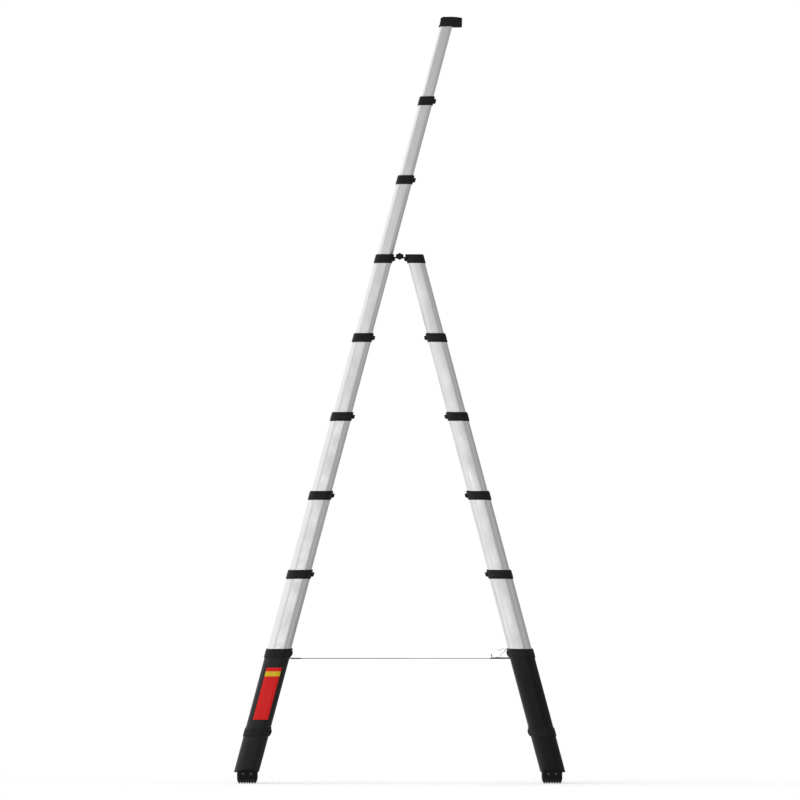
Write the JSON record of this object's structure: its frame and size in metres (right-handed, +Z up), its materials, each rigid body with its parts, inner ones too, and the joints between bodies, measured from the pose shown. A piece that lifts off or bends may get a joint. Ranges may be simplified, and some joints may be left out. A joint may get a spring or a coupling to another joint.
{
  "type": "telescoping ladder",
  "caption": "Telescoping aluminium combination ladder standing as an A-frame, with nested sliding sections, hinged rear ladder, star knobs, toothed feet and a restraint strap.",
  "frame": {"origin": "on the floor, under the hinge's pivot and midway between the rails", "axes": "+Z up; +X from the front ladder's feet to the rear ladder's feet, which is the climber's way forward; Y along the rungs, +Y is the left side"},
  "size_m": [1.2178, 0.4918, 2.8144],
  "materials": {
    "silver_tube": "satin anodised extrusion with fine lengthwise lines",
    "black_tube": "black powder coat, satin",
    "step_moulding": "black moulded nylon, fine grain",
    "release_button": "dark grey moulded plastic, ribbed",
    "foot_rubber": "black moulded rubber, matt",
    "knob_plastic": "black moulded plastic",
    "hinge_steel": "zinc-plated steel",
    "strap_webbing": "grey woven webbing",
    "hook_steel": "blackened pressed steel"
  },
  "bodies": {
    "front_base": {"front_tube_left_1": "black_tube", "front_tube_right_1": "black_tube", "front_step_1": "step_moulding", "front_step_2": "step_moulding", "front_foot_left": "foot_rubber", "front_foot_right": "foot_rubber", "restraint_strap": "strap_webbing"},
    "front_stage_2": {"front_tube_left_2": "silver_tube", "front_tube_right_2": "silver_tube", "front_step_3": "step_moulding"},
    "front_stage_3": {"front_tube_left_3": "silver_tube", "front_tube_right_3": "silver_tube", "front_step_4": "step_moulding"},
    "front_stage_4": {"front_tube_left_4": "silver_tube", "front_tube_right_4": "silver_tube", "front_step_5": "step_moulding"},
    "front_stage_5": {"front_tube_left_5": "silver_tube", "front_tube_right_5": "silver_tube", "front_step_6": "step_moulding"},
    "front_stage_6": {"front_tube_left_6": "silver_tube", "front_tube_right_6": "silver_tube", "front_step_7": "step_moulding", "hinge_axle": "hinge_steel"},
    "front_stage_7": {"front_tube_left_7": "silver_tube", "front_tube_right_7": "silver_tube", "front_step_8": "step_moulding"},
    "front_stage_8": {"front_tube_left_8": "silver_tube", "front_tube_right_8": "silver_tube", "front_step_9": "step_moulding"},
    "front_stage_9": {"front_tube_left_9": "silver_tube", "front_tube_right_9": "silver_tube", "front_step_10": "step_moulding"},
    "rear_base": {"rear_tube_left_1": "black_tube", "rear_tube_right_1": "black_tube", "rear_step_1": "step_moulding", "rear_step_2": "step_moulding", "rear_foot_left": "foot_rubber", "rear_foot_right": "foot_rubber"},
    "rear_stage_2": {"rear_tube_left_2": "silver_tube", "rear_tube_right_2": "silver_tube", "rear_step_3": "step_moulding"},
    "rear_stage_3": {"rear_tube_left_3": "silver_tube", "rear_tube_right_3": "silver_tube", "rear_step_4": "step_moulding"},
    "rear_stage_4": {"rear_tube_left_4": "silver_tube", "rear_tube_right_4": "silver_tube", "rear_step_5": "step_moulding"},
    "rear_stage_5": {"rear_tube_left_5": "silver_tube", "rear_tube_right_5": "silver_tube", "rear_step_6": "step_moulding"},
    "rear_stage_6": {"rear_tube_left_6": "silver_tube", "rear_tube_right_6": "silver_tube", "rear_step_7": "step_moulding"},
    "strap_hook": {"strap_hook": "hook_steel"},
    "front_release_button_left": {"front_release_button_left": "release_button"},
    "front_release_button_right": {"front_release_button_right": "release_button"},
    "rear_release_button_left": {"rear_release_button_left": "release_button"},
    "rear_release_button_right": {"rear_release_button_right": "release_button"},
    "hinge_knob_left": {"hinge_knob_left": "knob_plastic"},
    "hinge_knob_right": {"hinge_knob_right": "knob_plastic"}
  },
  "joints": [
    {"name": "front_slide_2", "type": "slide", "parent": "front_base", "child": "front_stage_2", "axis": [-0.2588, 0, -0.9659], "range_m": [0, 0.265]},
    {"name": "front_slide_3", "type": "slide", "parent": "front_stage_2", "child": "front_stage_3", "axis": [-0.2588, 0, -0.9659], "range_m": [0, 0.265]},
    {"name": "front_slide_4", "type": "slide", "parent": "front_stage_3", "child": "front_stage_4", "axis": [-0.2588, 0, -0.9659], "range_m": [0, 0.265]},
    {"name": "front_slide_5", "type": "slide", "parent": "front_stage_4", "child": "front_stage_5", "axis": [-0.2588, 0, -0.9659], "range_m": [0, 0.265]},
    {"name": "front_slide_6", "type": "slide", "parent": "front_stage_5", "child": "front_stage_6", "axis": [-0.2588, 0, -0.9659], "range_m": [0, 0.265]},
    {"name": "front_slide_7", "type": "slide", "parent": "front_stage_6", "child": "front_stage_7", "axis": [-0.2588, 0, -0.9659], "range_m": [0, 0.265]},
    {"name": "front_slide_8", "type": "slide", "parent": "front_stage_7", "child": "front_stage_8", "axis": [-0.2588, 0, -0.9659], "range_m": [0, 0.265]},
    {"name": "front_slide_9", "type": "slide", "parent": "front_stage_8", "child": "front_stage_9", "axis": [-0.2588, 0, -0.9659], "range_m": [0, 0.265]},
    {"name": "fold", "type": "hinge", "parent": "front_stage_6", "child": "rear_stage_6", "pos_m": [0, 0, 1.93517], "axis": [0, 1, 0], "range_deg": [0, 30], "deforming": ["restraint_strap"]},
    {"name": "rear_slide_6", "type": "slide", "parent": "rear_stage_6", "child": "rear_stage_5", "axis": [-0.2588, 0, 0.9659], "range_m": [0, 0.265]},
    {"name": "rear_slide_5", "type": "slide", "parent": "rear_stage_5", "child": "rear_stage_4", "axis": [-0.2588, 0, 0.9659], "range_m": [0, 0.265]},
    {"name": "rear_slide_4", "type": "slide", "parent": "rear_stage_4", "child": "rear_stage_3", "axis": [-0.2588, 0, 0.9659], "range_m": [0, 0.265]},
    {"name": "rear_slide_3", "type": "slide", "parent": "rear_stage_3", "child": "rear_stage_2", "axis": [-0.2588, 0, 0.9659], "range_m": [0, 0.265]},
    {"name": "rear_slide_2", "type": "slide", "parent": "rear_stage_2", "child": "rear_base", "axis": [-0.2588, 0, 0.9659], "range_m": [0, 0.265]},
    {"name": "front_button_left_press", "type": "slide", "parent": "front_base", "child": "front_release_button_left", "axis": [0, -1, 0], "range_m": [0, 0.012], "stiffness_N_per_m": 250, "springref_m": -0.004},
    {"name": "front_button_right_press", "type": "slide", "parent": "front_base", "child": "front_release_button_right", "axis": [0, 1, 0], "range_m": [0, 0.012], "stiffness_N_per_m": 250, "springref_m": -0.004},
    {"name": "rear_button_left_press", "type": "slide", "parent": "rear_base", "child": "rear_release_button_left", "axis": [0, -1, 0], "range_m": [0, 0.012], "stiffness_N_per_m": 250, "springref_m": -0.004},
    {"name": "rear_button_right_press", "type": "slide", "parent": "rear_base", "child": "rear_release_button_right", "axis": [0, 1, 0], "range_m": [0, 0.012], "stiffness_N_per_m": 250, "springref_m": -0.004},
    {"name": "hinge_knob_left_turn", "type": "hinge", "parent": "front_stage_6", "child": "hinge_knob_left", "pos_m": [0, 0, 1.93517], "axis": [0, 1, 0], "range_deg": [0, 270]},
    {"name": "hinge_knob_right_turn", "type": "hinge", "parent": "front_stage_6", "child": "hinge_knob_right", "pos_m": [0, 0, 1.93517], "axis": [0, -1, 0], "range_deg": [0, 270]},
    {"name": "strap_hook_swing", "type": "hinge", "parent": "rear_base", "child": "strap_hook", "pos_m": [0.44592, 0, 0.456], "axis": [0, 1, 0], "range_deg": [-30, 0]}
  ],
  "couplings": [
    {"joint": "strap_hook_swing", "follows": "fold", "ratio": -1},
    {"joint": "rear_slide_6", "follows": "front_slide_6", "ratio": 1},
    {"joint": "rear_slide_5", "follows": "front_slide_5", "ratio": 1},
    {"joint": "rear_slide_4", "follows": "front_slide_4", "ratio": 1},
    {"joint": "rear_slide_3", "follows": "front_slide_3", "ratio": 1},
    {"joint": "rear_slide_2", "follows": "front_slide_2", "ratio": 1}
  ]
}
